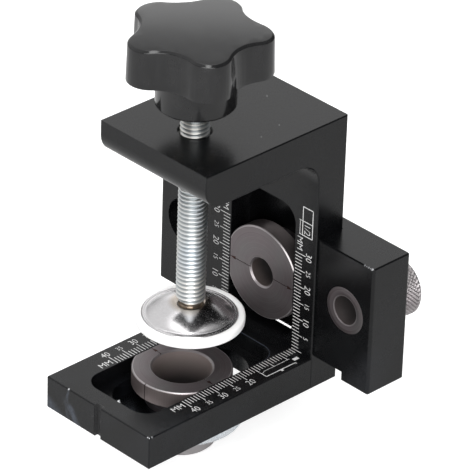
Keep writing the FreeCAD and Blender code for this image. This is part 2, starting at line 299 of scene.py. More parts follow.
def makeAnodised(name, dustAmount, nicks=(), smearsAndPaintedLight=(), dots=()):
    # satin black anodising on fine blasted aluminium, with a few nicks through to the metal; the smears list
    # also lays painted light and painted highlights into the colour
    s = anodised
    material, tree, shader, place = newMaterial(name)
    clouds = addNoise(tree, place, *s["clouds"])
    stains = addNoise(tree, addMapping(tree, place, place=s["stainPlace"]), *s["stains"])
    grain = addNoise(tree, place, *s["grain"])
    specks = addNoise(tree, place, *s["specks"])
    dye = addMix(tree, addRange(tree, clouds, 0.35, 0.7), s["dye"], s["dyeWorn"])
    dye = addMix(tree, addRange(tree, stains, 0.60, 0.74, 0.0, 0.6), dye, s["bloom"])
    dusty = times(tree, addRange(tree, specks, 0.76, 0.82), dustAmount, clamp=True)
    dye = addMix(tree, dusty, dye, s["dust"])
    bare = addWear(tree, place, *s["wear"])
    for point, reach in nicks:
        bare = joined(tree, bare, addSpot(tree, place, point, reach))
    for point in dots:
        dot = times(tree, addSpot(tree, place, point, s["lintReach"]), s["markAndLightShare"])
        dye = addMix(tree, dot, dye, s["lint"])
    # smears, and painted highlights and painted light, mixed into the colour
    for maskMaker, tint in smearsAndPaintedLight:
        dye = addMix(tree, times(tree, maskMaker(tree, place), s["markAndLightShare"]), dye, tint)
    rough = addRange(tree, blend(tree, clouds, grain, s["cloudShare"]), 0.3, 0.7, *s["rough"])
    paint(tree, shader, addMix(tree, bare, dye, s["metal"]), rough, times(tree, bare, s["metallic"]))
    shader.inputs["Specular IOR Level"].default_value = s["specular"]
    addBump(tree, grain, shader, *s["bump"])
    return material


# a band is (centre, half width, softness), a fade (start, end) or (start, end, low, high), in millimetres
endSmear = {
    "face": (-58.5, 0.15, 0.05), "wander": (260.0, 2.0, 0.5), "wanderBy": 0.0006, "run": (-11.6, 0.35, 0.8),
    "forkZ": -4.6, "below": (-3.4, -5.2), "forkSlant": 0.75, "fork": (-11.5, 1.3, 1.6), "forkThins": 0.5,
    "cornerX": -16.2, "cornerSlant": 0.55, "corner": (-6.6, -8.8, 0.0, 0.85), "cornerEnds": (-9.2, -10.4),
    "streaks": (900.0, 2.0, 0.6), "streakRange": (0.25, 0.65, 0.35, 1.0), "streakStretch": 0.35,
}


def smearOnEnd(tree, place):
    # a dried rinse mark on the front end: one run from the top edge that spreads out below
    s = endSmear
    x, y, z = splitXYZ(tree, place)
    wander = addRange(tree, addNoise(tree, place, *s["wander"]), 0.3, 0.7, -s["wanderBy"], s["wanderBy"])
    x = addMath(tree, "ADD", x, wander)
    below = addFade(tree, z, *s["below"])
    thinned = addMath(tree, "SUBTRACT", 1.0, times(tree, below, s["forkThins"]))
    upper = times(tree, addBand(tree, x, *s["run"]), thinned)
    slant = times(tree, addMath(tree, "SUBTRACT", z, s["forkZ"] * mm), s["forkSlant"])
    fork = times(tree, addBand(tree, addMath(tree, "ADD", x, slant), *s["fork"]), below)
    slant = times(tree, addMath(tree, "SUBTRACT", x, s["cornerX"] * mm), s["cornerSlant"])
    corner = addFade(tree, addMath(tree, "ADD", z, slant), *s["corner"])
    corner = times(tree, corner, addFade(tree, x, *s["cornerEnds"]))
    stretched = addMapping(tree, place, scale=(1, 1, s["streakStretch"]))
    streaky = addRange(tree, addNoise(tree, stretched, *s["streaks"]), *s["streakRange"])
    mask = times(tree, joined(tree, upper, fork, corner), streaky)
    return times(tree, mask, addBand(tree, y, *s["face"]), clamp=True)


frontGroove = {"across": (0.0, 1.27, 0.02), "mouth": (-58.42, -58.38), "floor": (-57.08, -57.12)}


def greyInGroove(tree, place):
    # painted light inside the front groove, standing in for its lit walls
    x, y = splitXYZ(tree, place)[:2]
    along = times(tree, addFade(tree, y, *frontGroove["mouth"]), addFade(tree, y, *frontGroove["floor"]))
    return times(tree, addBand(tree, x, *frontGroove["across"]), along, clamp=True)


pocketRimHighlight = {
    "middle": (0.0, -28.8), "half": (12.15, 24.0), "corner": 5.4, "line": (5.43, 0.1, 0.05),
    "top": (-0.25, -0.1), "rear": (-14.0, -9.0, 0.05, 0.9),
}


def lipOnPocket(tree, place):
    # painted highlight: a bright line round the mouth of the shallow pocket, mostly at its rear
    s = pocketRimHighlight
    x, y, z = splitXYZ(tree, place)
    beyond = []
    for value, middle, half in zip((x, y), s["middle"], s["half"]):
        away = addMath(tree, "ABSOLUTE", addMath(tree, "SUBTRACT", value, middle * mm))
        past = addMath(tree, "SUBTRACT", away, (half - s["corner"]) * mm)
        beyond.append(addMath(tree, "MAXIMUM", past, 0.0))
    line = addBand(tree, addLength(tree, *beyond), *s["line"])
    line = times(tree, line, addFade(tree, z, *s["top"]))
    return times(tree, line, addFade(tree, y, *s["rear"]), clamp=True)


# blackened steel of the bushes

gunmetal = {
    "deep": (0.136, 0.116, 0.120), "pale": (0.197, 0.173, 0.180), "green": (0.170, 0.172, 0.170),
    "worn": (0.50, 0.46, 0.47), "wornShare": 0.75, "wear": (0.00025, 500.0, 0.9), "ringScale": 2600.0,
    "bump": (0.22, 0.00002), "tint": (95.0, 3.0, 0.5), "patch": (420.0, 4.0, 0.6), "rough": (0.34, 0.46),
    "paintedFlangeSideFade": (13.46, 13.5, 0.0, 0.7), "paintedLightTone": (0.62, 0.59, 0.595), "lipHighlightOut": 0.3, "lipHighlightSoft": 0.08,
    "lipHighlightShare": 0.24, "endLightSoft": 0.1, "endLightShare": 0.9, "boreShade": (0.04, 0.035, 0.035),
    "boreSoft": (0.06, 0.02), "shadeReach": (0.15, 1.15), "metallic": (0.88, 0.35),
    "scribe": (0.035, 0.018, 0.016), "scribeLine": (0.0, 0.15, 0.04), "face": (0.0, 0.25, 0.02),
    "seam": (-13.0, -13.2),
}
# per bush, "rim" is a painted tone for the flange's outer side, painted shade on the wall bush and painted
# light on the base bush; "bore" is the painted tone of the bore's mouth, painted light on the base bush and
# painted shade on the wall and side bushes
wallBushFinish = {
    "boreRadius": 4.0, "scribed": True, "bore": (0.085, 0.068, 0.064), "rim": (0.10, 0.085, 0.083),
    "paintedHighlightBand": (13.22, 0.19, 0.08), "paintedHighlightShare": 0.45, "lipHighlightHalf": 0.25, "paintedLightEnd": None,
}
baseBushFinish = {
    **wallBushFinish, "boreRadius": 8.0, "bore": (0.27, 0.225, 0.213), "rim": (0.44, 0.365, 0.355),
    "paintedLightEnd": -15.2,
}
sideBushFinish = {
    **wallBushFinish, "scribed": False, "bore": (0.045, 0.037, 0.036),
    "paintedHighlightBand": (8.5, 0.36, 0.1), "paintedHighlightShare": 0.36, "lipHighlightHalf": 0.15,
}


def makeGunmetal(name, centre, turn, finish):
    # hardened and blackened steel, turned, so its marks run round the bore; painted highlights on the
    # chamfers, painted light on the barrel's end, a painted tone on the flange's side, and a painted tone in
    # the bore turning to painted shade
    s = gunmetal
    bore = finish["boreRadius"]
    end = finish["paintedLightEnd"]
    material, tree, shader, place = newMaterial(name)
    centred = addMapping(tree, place, place=tuple(-value * mm for value in centre))
    aligned = addMapping(tree, centred, turn=turn)
    x, y, z = splitXYZ(tree, aligned)
    turning = placeGroup(tree, turningMarks, Vector=aligned, Ring_Scale=s["ringScale"])
    rings = turning.outputs["Rings"]
    radius = turning.outputs["Radius"]
    base = addMix(tree, addRange(tree, rings, 0.3, 0.7), s["deep"], s["pale"])
    tint = addRange(tree, addNoise(tree, place, *s["tint"]), 0.45, 0.68, 0.0, 0.55)
    base = addMix(tree, tint, base, s["green"])
    base = addMix(tree, times(tree, addWear(tree, place, *s["wear"]), s["wornShare"]), base, s["worn"])
    # painted tone on the flange's outer side
    base = addMix(tree, addFade(tree, radius, *s["paintedFlangeSideFade"]), base, finish["rim"])
    # painted highlights on the flange's chamfer and the bore's lip, painted light on the barrel's lower end
    pale = times(tree, addBand(tree, radius, *finish["paintedHighlightBand"]), finish["paintedHighlightShare"])
    lipHighlight = addBand(tree, radius, bore + s["lipHighlightOut"], finish["lipHighlightHalf"], s["lipHighlightSoft"])
    pale = joined(tree, pale, times(tree, lipHighlight, s["lipHighlightShare"]))
    if end is not None:
        endLight = addFade(tree, z, end + s["endLightSoft"], end - s["endLightSoft"], 0.0, s["endLightShare"])
        pale = joined(tree, pale, endLight)
    base = addMix(tree, pale, base, s["paintedLightTone"])
    # inside the bore: the painted mouth tone turning to painted shade deeper in
    inBore = addFade(tree, radius, *[bore + step for step in s["boreSoft"]])
    deep = addFade(tree, addMath(tree, "ABSOLUTE", z), *[bore * reach for reach in s["shadeReach"]])
    base = addMix(tree, inBore, base, addMix(tree, deep, finish["bore"], s["boreShade"]))
    if finish["scribed"]:
        onFace = addMath(tree, "SUBTRACT", addBand(tree, z, *s["face"]), inBore, clamp=True)
        base = addMix(tree, times(tree, addBand(tree, y, *s["scribeLine"]), onFace), base, s["scribe"])
    if end is not None:
        seam = times(tree, addBand(tree, x, *s["scribeLine"]), addFade(tree, y, *s["seam"]))
        base = addMix(tree, seam, base, s["scribe"])
    mixed = blend(tree, rings, addNoise(tree, place, *s["patch"]), 0.5)
    metallic = addRange(tree, inBore, 0.0, 1.0, *s["metallic"])
    paint(tree, shader, base, addRange(tree, mixed, 0.3, 0.7, *s["rough"]), metallic)
    addBump(tree, rings, shader, *s["bump"])
    return material


# plated pieces

screwTint = {
    "cool": (0.72, 0.765, 0.80), "warm": (0.83, 0.815, 0.775), "rough": (0.28, 0.44),
    "haze": (120.0, 3.0, 0.5), "root": (0.29, 0.32, 0.34), "rootShadeFade": (3.85, 3.5, 0.0, 0.8),
    "paintedTone": (0.66, 0.59, 0.51), "paintedToneFade": (20.7, 20.5, 0.0, 0.92),
}
nutTint = {
    "cool": (0.82, 0.87, 0.92), "warm": (0.90, 0.90, 0.90), "rough": (0.2, 0.34), "haze": (60.0, 3.0, 0.5),
}
# the base nut's top face, turned to the plate, gets painted shade
baseNutTint = {**nutTint, "paintedTone": (0.06, 0.07, 0.085), "paintedToneFade": (-9.85, -9.78, 0.0, 0.92)}
zincGrain = {"fine": (3800.0, 3.0, 0.65), "bump": (0.12, 0.00002)}


def addScrewDistance(tree, place):
    # how far a point lies from the clamp screw's axis
    x, y = splitXYZ(tree, place)[:2]
    return addLength(tree, x, addMath(tree, "SUBTRACT", y, layout["screwY"] * mm))


def makeZinc(name, zinc):
    # bright zinc with the blue passivation haze, with painted shade in the thread's roots and a painted tone
    # past one height
    material, tree, shader, place = newMaterial(name)
    haze = addNoise(tree, place, *zinc["haze"])
    fine = addNoise(tree, place, *zincGrain["fine"])
    colour = addMix(tree, addRange(tree, haze, 0.35, 0.65), zinc["cool"], zinc["warm"])
    # painted shade in the thread's roots
    if "root" in zinc:
        inRootShade = addFade(tree, addScrewDistance(tree, place), *zinc["rootShadeFade"])
        colour = addMix(tree, inRootShade, colour, zinc["root"])
    # painted tone past one height: a tan on the screw's neck below the thread, made lighter as painted light
    # against the thread's shadow, and painted shade on the base nut's top face
    if "paintedTone" in zinc:
        paintedToneMask = addFade(tree, splitXYZ(tree, place)[2], *zinc["paintedToneFade"])
        colour = addMix(tree, paintedToneMask, colour, zinc["paintedTone"])
    paint(tree, shader, colour, addRange(tree, fine, 0.25, 0.75, *zinc["rough"]), 1.0)
    addBump(tree, fine, shader, *zincGrain["bump"])
    return material


chrome = {
    "grey": (0.62, 0.605, 0.615), "bright": (0.70, 0.69, 0.70), "haze": (1400.0, 3.0, 0.6),
    "rough": (0.15, 0.26), "paintedTone": (0.46, 0.40, 0.335), "paintedToneFade": (6.2, 4.6, 0.0, 0.8),
    "specks": (3300.0, 2.0, 0.7), "speckDull": 0.3, "ripple": (330.0, 2.0, 0.5),
    "pebble": (2100.0, 2.0, 0.5), "bump": (0.2, 0.00006),
}


def makeChrome():
    # polished plating over a pressed shell, faintly rippled, with a painted tan reflection of the screw round
    # it, and a few dull specks
    s = chrome
    material, tree, shader, place = newMaterial("polishedPlating")
    haze = addNoise(tree, place, *s["haze"])
    specks = addRange(tree, addNoise(tree, place, *s["specks"]), 0.66, 0.72)
    # painted tan reflection of the screw on the dome round it
    paintedToneMask = addFade(tree, addScrewDistance(tree, place), *s["paintedToneFade"])
    plating = addMix(tree, paintedToneMask, addMix(tree, haze, s["grey"], s["bright"]), s["paintedTone"])
    dull = addRange(tree, haze, 0.3, 0.75, *s["rough"])
    dull = addMath(tree, "ADD", dull, times(tree, specks, s["speckDull"]))
    paint(tree, shader, plating, dull, 1.0)
    pebbles = blend(tree, addNoise(tree, place, *s["ripple"]), addNoise(tree, place, *s["pebble"]), 0.5)
    addBump(tree, pebbles, shader, *s["bump"])
    return material


# plastics, ink and plain metals

knobPlastic = {
    "deep": (0.0085, 0.0085, 0.009), "pale": (0.014, 0.014, 0.0145), "rough": (0.10, 0.18), "specular": 0.365,
    "haze": (130.0, 4.0, 0.6), "skin": (1900.0, 2.0, 0.5), "bump": (0.06, 0.00004),
}
nylon = {
    "grey": (0.86, 0.855, 0.85), "white": (0.92, 0.915, 0.91), "rough": (0.38, 0.52), "depth": 0.12,
    "depthRadius": (0.0012, 0.0011, 0.001), "cloud": (160.0, 3.0, 0.5), "skin": (2600.0, 3.0, 0.6),
    "bump": (0.08, 0.00003),
}
ink = {
    "thin": (0.46, 0.46, 0.46), "full": (0.72, 0.72, 0.72), "rough": (0.55, 0.75), "fade": (1500.0, 3.0, 0.7),
}
plainMetal = {"patch": (700.0, 3.0, 0.6), "roughSpread": 0.08}


def makeKnobPlastic():
    # gloss moulded plastic, a little waxy, with faint handling haze
    s = knobPlastic
    material, tree, shader, place = newMaterial("glossBlackPlastic")
    haze = addNoise(tree, place, *s["haze"])
    colour = addMix(tree, addRange(tree, haze, 0.4, 0.7), s["deep"], s["pale"])
    paint(tree, shader, colour, addRange(tree, haze, 0.3, 0.75, *s["rough"]))
    shader.inputs["Specular IOR Level"].default_value = s["specular"]
    addBump(tree, addNoise(tree, place, *s["skin"]), shader, *s["bump"])
    return material


def makeCapPlastic():
    # white nylon, slightly translucent
    s = nylon
    material, tree, shader, place = newMaterial("whiteNylon")
    skin = addNoise(tree, place, *s["skin"])
    colour = addMix(tree, addNoise(tree, place, *s["cloud"]), s["grey"], s["white"])
    paint(tree, shader, colour, addRange(tree, skin, 0.3, 0.7, *s["rough"]))
    shader.inputs["Subsurface Weight"].default_value = s["depth"]
    shader.inputs["Subsurface Radius"].default_value = s["depthRadius"]
    addBump(tree, skin, shader, *s["bump"])
    return material


def makeInk():
    # white of the scales, thin and slightly broken
    material, tree, shader, place = newMaterial("scaleInk")
    fade = addNoise(tree, place, *ink["fade"])
    colour = addMix(tree, addRange(tree, fade, 0.35, 0.65), ink["thin"], ink["full"])
    paint(tree, shader, colour, addRange(tree, fade, 0.3, 0.7, *ink["rough"]))
    return material


def makePlainMetal(name, first, second, rough):
    material, tree, shader, place = newMaterial(name)
    patch = addNoise(tree, place, *plainMetal["patch"])
    spread = plainMetal["roughSpread"]
    rough = addRange(tree, patch, 0.3, 0.7, rough - spread, rough + spread)
    paint(tree, shader, addMix(tree, patch, first, second), rough, 1.0)
    return material


# places of single marks, each nick with its reach
bracketLint = ((-1.0, 0.7, 70.75), (12.2, -7.7, 70.75), (13.7, -15.6, 70.75), (6.4, 11.0, 70.75))
plateNicks = (
    ((-11.4, -58.35, -0.1), 0.34), ((19.1, -58.3, -0.1), 0.24), ((19.75, -57.4, -0.15), 0.3),
    ((19.6, -58.2, -0.2), 0.22),
)
barNicks = (
    ((39.5, 1.0, 36.3), 0.4), ((38.9, 0.98, 36.35), 0.26), ((38.2, 0.98, 36.35), 0.3),
    ((37.5, 0.98, 36.35), 0.22), ((36.8, 0.98, 36.35), 0.26),
)
# one blue for the rinse mark and for the painted highlight on the pocket's rim, a grey for the painted light
# in the groove
rinseAndHighlightBlue = (0.058, 0.068, 0.088)
paintedGrooveLight = (0.048, 0.048, 0.049)

bracketBlack = makeAnodised("bracketBlack", 0.5, dots=bracketLint)
plateBlack = makeAnodised("plateBlack", 0.4, nicks=plateNicks, smearsAndPaintedLight=(
    (smearOnEnd, rinseAndHighlightBlue), (lipOnPocket, rinseAndHighlightBlue), (greyInGroove, paintedGrooveLight)))
barBlack = makeAnodised("barBlack", 0.3, nicks=barNicks)
baseBushSteel = makeGunmetal("baseBushSteel", (0, layout["baseBushY"], 0), (0, 0, 0), baseBushFinish)
wallBushSteel = makeGunmetal("wallBushSteel", (0, 0, layout["wallBushZ"]), (quarter, 0, 0), wallBushFinish)
sideBushSteel = makeGunmetal(
    "sideBushSteel", (layout["sideHoleX"], 0, layout["sideHoleZ"]), (quarter, 0, 0), sideBushFinish)
screwZinc = makeZinc("screwZinc", screwTint)
nutZinc = makeZinc("nutZinc", nutTint)
baseNutZinc = makeZinc("baseNutZinc", baseNutTint)
polishedPlating = makeChrome()
glossBlackPlastic = makeKnobPlastic()
whiteNylon = makeCapPlastic()
scaleInk = makeInk()
arrowInk = makePlainMetal("arrowInk", (0.045, 0.022, 0.02), (0.075, 0.04, 0.036), 0.5)
insertBrass = makePlainMetal("insertBrass", (0.60, 0.42, 0.16), (0.75, 0.55, 0.25), 0.3)
blackOxide = makePlainMetal("blackOxide", (0.02, 0.02, 0.022), (0.05, 0.05, 0.052), 0.4)
print("materials ready")


# modelling helpers

weld = {"outline": 0.00001, "spun": 0.000005, "fine": 0.000002}  # metres


def pick(*pieces):
    if bpy.context.object and bpy.context.object.mode != "OBJECT":
        bpy.ops.object.mode_set(mode="OBJECT")
    bpy.ops.object.select_all(action="DESELECT")
    for piece in pieces:
        piece.select_set(True)
    if pieces:
        bpy.context.view_layer.objects.active = pieces[0]


def edit(piece):
    pick(piece)
    bpy.ops.object.mode_set(mode="EDIT")
    bpy.ops.mesh.select_all(action="DESELECT")


def leaveEdit():
    bpy.ops.object.mode_set(mode="OBJECT")


def selectAll():
    bpy.ops.mesh.select_all(action="SELECT")


def weldAll(distance):
    selectAll()
    bpy.ops.mesh.remove_doubles(threshold=distance)


def faceOutwards():
    selectAll()
    bpy.ops.mesh.normals_make_consistent(inside=False)
    leaveEdit()


def squeezeWhere(piece, test, factors):
    # scales the vertices whose place passes a test
    edit(piece)
    bpy.ops.mesh.select_mode(type="VERT")
    leaveEdit()
    for vertex in piece.data.vertices:
        vertex.select = test(*vertex.co)
    bpy.ops.object.mode_set(mode="EDIT")
    bpy.ops.transform.resize(value=factors, center_override=(0, 0, 0))
    leaveEdit()


def applyAll(piece):
    pick(piece)
    for modifier in list(piece.modifiers):
        bpy.ops.object.modifier_apply(modifier=modifier.name)


def settle(piece):
    pick(piece)
    bpy.ops.object.transform_apply(location=True, rotation=True, scale=True)


def smooth(piece, degrees):
    pick(piece)
    bpy.ops.object.shade_smooth_by_angle(angle=math.radians(degrees))


def addObject(name, data):
    thing = bpy.data.objects.new(name, data)
    bpy.context.scene.collection.objects.link(thing)
    return thing


def joinAll(name, parts):
    pick(*parts)
    bpy.ops.object.join()
    piece = bpy.context.object
    piece.name = name
    return piece


def dress(piece, material):
    piece.data.materials.clear()
    piece.data.materials.append(material)


def handOver(piece, body, slot, material, *stoodFor):
    dress(piece, material)
    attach(piece, body)
    if stoodFor:
        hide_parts(*stoodFor)


def around(radius, height, offsets):
    # outline points given from one corner
    return [(radius + across, height + up) for across, up in offsets]


def drawLine(name, points):
    # a chain of edges in the XZ plane through (radius, height) points
    pick()
    bpy.ops.mesh.primitive_circle_add(vertices=3, radius=mm, location=(0, 0, 0))
    piece = bpy.context.object
    piece.name = name
    bpy.ops.object.mode_set(mode="EDIT")
    selectAll()
    bpy.ops.mesh.merge(type="CENTER")
    before = (0, 0)
    for index, point in enumerate(points):
        step = ((point[0] - before[0]) * mm, 0, (point[1] - before[1]) * mm)
        if index == 0:
            bpy.ops.transform.translate(value=step)
        else:
            bpy.ops.mesh.extrude_vertices_move(TRANSFORM_OT_translate={"value": step})
        before = point
    leaveEdit()
    return piece


def spinLine(name, points, steps):
    # turns a closed outline about Z
    piece = drawLine(name, points + points[:1])
    edit(piece)
    weldAll(weld["outline"])
    bpy.ops.mesh.spin(steps=steps, angle=2 * math.pi, center=(0, 0, 0), axis=(0, 0, 1))
    weldAll(weld["spun"])
    faceOutwards()
    return piece


def shift(piece, x=0, y=0, z=0):
    piece.location = (x * mm, y * mm, z * mm)
    settle(piece)


def tilt(piece, degreesX):
    piece.rotation_euler = (math.radians(degreesX), 0, 0)
    settle(piece)


# clamp screw

clampScrew = {
    "pitch": 1.25, "crestRadius": 3.95, "rootRadius": 3.42, "crestWidth": 0.2, "rootWidth": 0.3,
    "crestBreak": 0.05, "flankShort": 0.93, "flankLong": 1.07, "from": 20.6, "to": 92.6, "spareTurns": 3,
    "leadPitches": 1.5, "steps": 48, "coreRadius": 3.1, "coreAbove": 2, "coreBelow": 0.1, "coreSteps": 64,
    "seatRadius": 2.9, "seatHeight": 20.36, "neckRadius": 2.5, "ballRadius": 3.4, "ballHeight": 16.7,
    "ballFlat": 14.45, "ballSteps": 12, "crease": 30,
}


def drawTooth():
    # one pitch of the thread from root to root, the crest's edges broken
    s = clampScrew
    flank = (s["pitch"] - s["crestWidth"] - s["rootWidth"]) / 2
    soft = s["crestBreak"]
    half = s["rootWidth"] / 2
    root = s["rootRadius"]
    crest = s["crestRadius"]
    width = s["crestWidth"]
    return drawLine("clampScrewThread", [
        (root, 0), (root, half), (crest - soft, half + flank * s["flankShort"]), (crest, half + flank + soft),
        (crest, half + flank + width - soft), (crest - soft, half + flank * s["flankLong"] + width),
        (root, s["pitch"] - half), (root, s["pitch"]),
    ])


def buildScrewCore():
    # plain core with the turned neck and the ball end
    s = clampScrew
    ball = s["ballRadius"]
    outline = [
        (0, s["from"] + s["coreAbove"]), (s["coreRadius"], s["from"] + s["coreAbove"]),
        (s["coreRadius"], s["from"] - s["coreBelow"]), (s["seatRadius"], s["seatHeight"]),
        (s["neckRadius"], s["seatHeight"]),
    ]
    ballStart = math.asin(s["neckRadius"] / ball)
    ballEnd = math.acos((s["ballFlat"] - s["ballHeight"]) / ball)
    for index in range(s["ballSteps"] + 1):
        angle = ballStart + (ballEnd - ballStart) * index / s["ballSteps"]
        outline.append((ball * math.sin(angle), s["ballHeight"] + ball * math.cos(angle)))
    outline.append((0, s["ballFlat"]))
    return spinLine("clampScrewCore", outline, s["coreSteps"])


def buildClampScrew():
    s = clampScrew
    thread = drawTooth()
    screw = thread.modifiers.new("thread", "SCREW")
    screw.axis = "Z"
    screw.angle = 2 * math.pi
    screw.screw_offset = s["pitch"] * mm
    screw.iterations = int((s["to"] - s["from"]) / s["pitch"]) + s["spareTurns"]
    screw.steps = s["steps"]
    screw.render_steps = s["steps"]
    screw.use_merge_vertices = False
    applyAll(thread)
    shift(thread, z=s["from"] - s["pitch"] * s["leadPitches"])
    edit(thread)
    weldAll(weld["fine"])
    for height, keepAbove in ((s["from"], True), (s["to"], False)):
        selectAll()
        bpy.ops.mesh.bisect(plane_co=(0, 0, height * mm), plane_no=(0, 0, 1), use_fill=True,
                            clear_inner=keepAbove, clear_outer=not keepAbove)
    faceOutwards()
    thread = joinAll("threadedClampScrew", (thread, buildScrewCore()))
    shift(thread, y=layout["screwY"])
    smooth(thread, s["crease"])
    handOver(thread, "screw", "zinc", screwZinc, "clamp_screw")
    print("clamp screw:", len(thread.data.polygons), "faces")


buildClampScrew()


# swivel foot: pressed dome in a white cap

footDome = {
    "sphereRadius": 19.2, "top": 19.4, "shoulder": 4.2, "shoulderBreak": 0.15, "foot": 11.2, "rim": 12.8,
    "rimWidth": 0.6, "wall": 0.8, "low": 14.43, "mouth": 2.9,
    "mouthLine": ((0, -0.18), (0.06, -0.05), (0.2, 0)),
    "rimLine": ((11.45, 16.02), (11.7, 15.89), (11.95, 15.86), (12.2, 15.92), (12.45, 15.97), (12.65, 15.9),
                (12.77, 15.73), (12.8, 15.5)),
    "arcSteps": 18, "steps": 144, "crease": 40,
}
footCap = {
    "outline": ((0, 13.2), (13.7, 13.2), (14.15, 13.28), (14.45, 13.5), (14.6, 13.8), (14.65, 14.15),
                (14.65, 15.35), (14.6, 15.6), (14.45, 15.78), (14.2, 15.88), (13.95, 15.9), (13.15, 15.9),
                (12.97, 15.86), (12.9, 15.72), (12.9, 14.4), (0, 14.4)),
    "steps": 144, "crease": 40,
}


def buildFootDome():
    s = footDome
    centre = s["top"] - math.sqrt(s["sphereRadius"] ** 2 - s["shoulder"] ** 2)
    inner = s["sphereRadius"] - s["wall"]
    gap = s["shoulderBreak"]
    inside = s["foot"] - s["rimWidth"]

    def height(radius, sphere):
        return centre + math.sqrt(sphere ** 2 - radius ** 2)

    outline = around(s["mouth"], s["top"], s["mouthLine"]) + [(s["shoulder"] - gap, s["top"])]
    for index in range(s["arcSteps"] + 1):
        radius = s["shoulder"] + gap + (s["foot"] - s["shoulder"] - gap) * index / s["arcSteps"]
        outline.append((radius, height(radius, s["sphereRadius"])))
    outline += s["rimLine"]
    outline += [(s["rim"], s["low"]), (inside, s["low"])]
    for index in range(s["arcSteps"] + 1):
        radius = inside + (s["shoulder"] - s["foot"] + s["rimWidth"]) * index / s["arcSteps"]
        outline.append((radius, height(radius, inner)))
    outline.append((s["mouth"], height(s["shoulder"], inner)))
    dome = spinLine("footDomeShell", outline, s["steps"])
    shift(dome, y=layout["screwY"])
    smooth(dome, s["crease"])
    handOver(dome, "foot", "chrome", polishedPlating, "foot_dome")


def buildFootCap():
    cap = spinLine("footCapCup", list(footCap["outline"]), footCap["steps"])
    shift(cap, y=layout["screwY"])
    smooth(cap, footCap["crease"])
    handOver(cap, "foot", "white_plastic", whiteNylon, "foot_cap")


buildFootDome()
buildFootCap()
print("foot ready")


# knurled pieces

ringTolerance = 0.05


def pressRing(piece, radius, depth, test):
    # draws in the vertices at one radius that pass a test on (angle, height)
    def onRing(x, y, z):
        near = abs(math.hypot(x, y) - radius * mm) < ringTolerance * mm
        return near and test(math.atan2(y, x), z / mm)

    factor = (radius - depth) / radius
    squeezeWhere(piece, onRing, (factor, factor, 1))


sideBush = {
    "sleeveFront": 1.05, "headEnd": 21.7, "neck": 13.4, "sleeve": 6.75, "head": 8.4, "bore": 4.0,
    "boreLine": ((0, 0.32), (0.1, 0.08), (0.34, 0)), "sleeveLine": ((-0.2, 0), (-0.06, 0.06), (0, 0.2)),
    "headBreak": 0.5, "endBreak": 0.6, "endLine": ((-0.35, -0.15), (-0.6, 0)),
    "rearLine": ((0.5, 0), (0, -0.5)), "teeth": 42, "rows": 10, "depth": 0.36, "crease": 25,
}


def buildSideBush():
    s = sideBush
    length = s["headEnd"] - s["sleeveFront"]
    firstRow = s["neck"] + s["headBreak"]
    rowStep = (length - s["endBreak"] - firstRow) / s["rows"]
    outline = around(s["bore"], 0, s["boreLine"]) + around(s["sleeve"], 0, s["sleeveLine"])
    outline += [(s["sleeve"], s["neck"]), (s["head"] - s["headBreak"], s["neck"])]
    outline += [(s["head"], firstRow + rowStep * row) for row in range(s["rows"] + 1)]
    outline += around(s["head"], length, s["endLine"]) + around(s["bore"], length, s["rearLine"])
    steps = 2 * s["teeth"]
    bush = spinLine("knurledSideBush", outline, steps)

    def low(angle, height):
        column = round(angle / (2 * math.pi / steps))
        row = round((height - firstRow) / rowStep)
        return 0 < row < s["rows"] and (column + row) % 2 == 1

    pressRing(bush, s["head"], s["depth"], low)
    edit(bush)
    selectAll()
    # joins the low corners, so the high ones stand as points
    bpy.ops.mesh.quads_convert_to_tris(quad_method="SHORTEST_DIAGONAL")
    leaveEdit()
    tilt(bush, -90)
    shift(bush, layout["sideHoleX"], s["sleeveFront"], layout["sideHoleZ"])
    smooth(bush, s["crease"])
    handOver(bush, "loose_bush", "gunmetal", sideBushSteel, "side_bush")


roundNut = {
    "radius": 16.8, "high": 4.8, "hole": 9.55, "holeLine": ((0, 0.4), (0.4, 0)),
    "rimLine": ((-0.7, 0), (-0.25, 0.12), (0, 0.5)), "teeth": 120, "depth": 0.22, "crease": 20,
}


def buildRoundNut(name, nodeName, body, turnX, place, material):
    s = roundNut
    lower = around(s["hole"], 0, s["holeLine"]) + around(s["radius"], 0, s["rimLine"])
    upper = [(radius, s["high"] - height) for radius, height in reversed(lower)]
    steps = 2 * s["teeth"]
    nut = spinLine(name, lower + upper, steps)

    def low(angle, height):
        return round(angle / (2 * math.pi / steps)) % 2 == 1

    pressRing(nut, s["radius"], s["depth"], low)
    tilt(nut, turnX)
    shift(nut, *place)
    smooth(nut, s["crease"])
    handOver(nut, body, "zinc", material, nodeName)


buildSideBush()
baseNutPlace = (0, layout["baseBushY"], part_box("base_nut")[1][2] / mm)
wallNutPlace = (0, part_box("wall_nut")[0][1] / mm, layout["wallBushZ"])
buildRoundNut("knurledBaseNut", "base_nut", "lower_nut", 180, baseNutPlace, baseNutZinc)
buildRoundNut("knurledWallNut", "wall_nut", "rear_nut", -90, wallNutPlace, nutZinc)
print("knurled pieces ready")


# star knob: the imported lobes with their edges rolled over

starKnob = {"flat": 0.6, "sharp": 24, "roll": 0.3, "steps": 3, "crease": 40}


def buildStarKnob():
    s = starKnob
    pick()
    knob = addObject("softStarKnob", nodes["star_knob"].data.copy())
    edit(knob)
    weldAll(weld["fine"])
    selectAll()
    bpy.ops.mesh.dissolve_limited(angle_limit=math.radians(s["flat"]))
    bpy.ops.mesh.select_all(action="DESELECT")
    bpy.ops.mesh.select_mode(type="EDGE")
    bpy.ops.mesh.edges_select_sharp(sharpness=math.radians(s["sharp"]))
    bpy.ops.mesh.bevel(offset=s["roll"] * mm, offset_type="OFFSET", segments=s["steps"], profile=0.5,
                       clamp_overlap=True)
    bpy.ops.mesh.select_mode(type="VERT")
    leaveEdit()
    smooth(knob, s["crease"])
    handOver(knob, "screw", "gloss_black_plastic", glossBlackPlastic, "star_knob")
    print("star knob:", len(knob.data.polygons), "faces")


